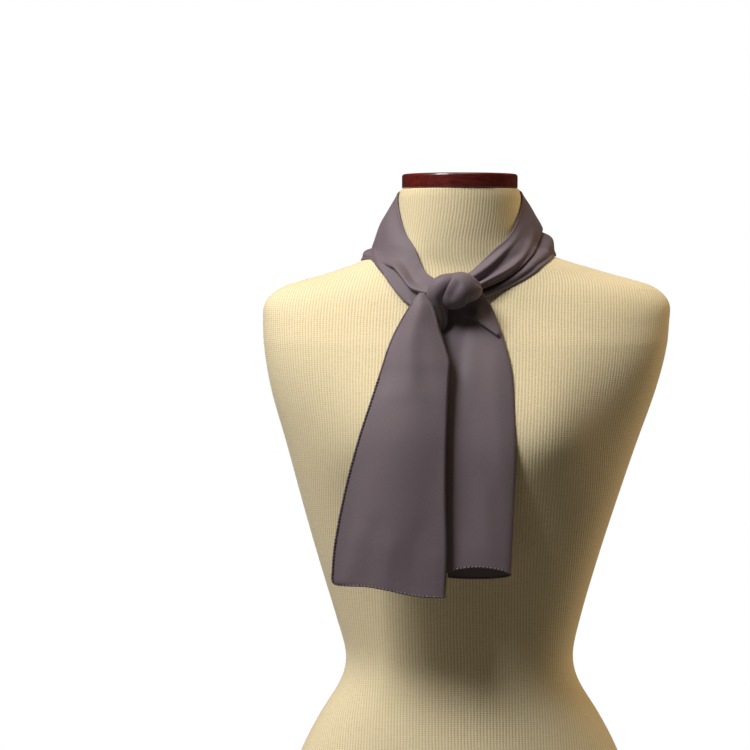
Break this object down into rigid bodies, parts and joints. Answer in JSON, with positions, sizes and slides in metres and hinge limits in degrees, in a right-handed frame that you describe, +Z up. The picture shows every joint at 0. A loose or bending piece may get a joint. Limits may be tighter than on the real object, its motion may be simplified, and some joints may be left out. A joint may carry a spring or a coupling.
{
  "type": "silk scarf on a dress form",
  "caption": "Narrow satin scarf folded round the neck of a limbless dress form and tied in front, its two flat ends hanging over the bust.",
  "frame": {"origin": "middle of the flat base that the dress form stands on", "axes": "+Z up through the neck, -Y the way the form's front faces, +X to the right of someone facing the front"},
  "size_m": [0.4069, 0.2766, 0.8572],
  "materials": {
    "jersey": "fine ribbed cotton jersey, matt",
    "mahogany": "stained and gloss lacquered",
    "silk": "mauve-grey silk satin, soft sheen"
  },
  "bodies": {
    "root": {"form_body": "jersey", "neck_cap": "mahogany", "left_neck_stretch": "silk", "nape_stretch": "silk", "right_neck_stretch": "silk", "left_under_fold": "silk", "right_under_fold": "silk", "knot_wrap": "silk", "knot_tuck": "silk", "front_tail": "silk", "back_tail": "silk"}
  },
  "joints": []
}
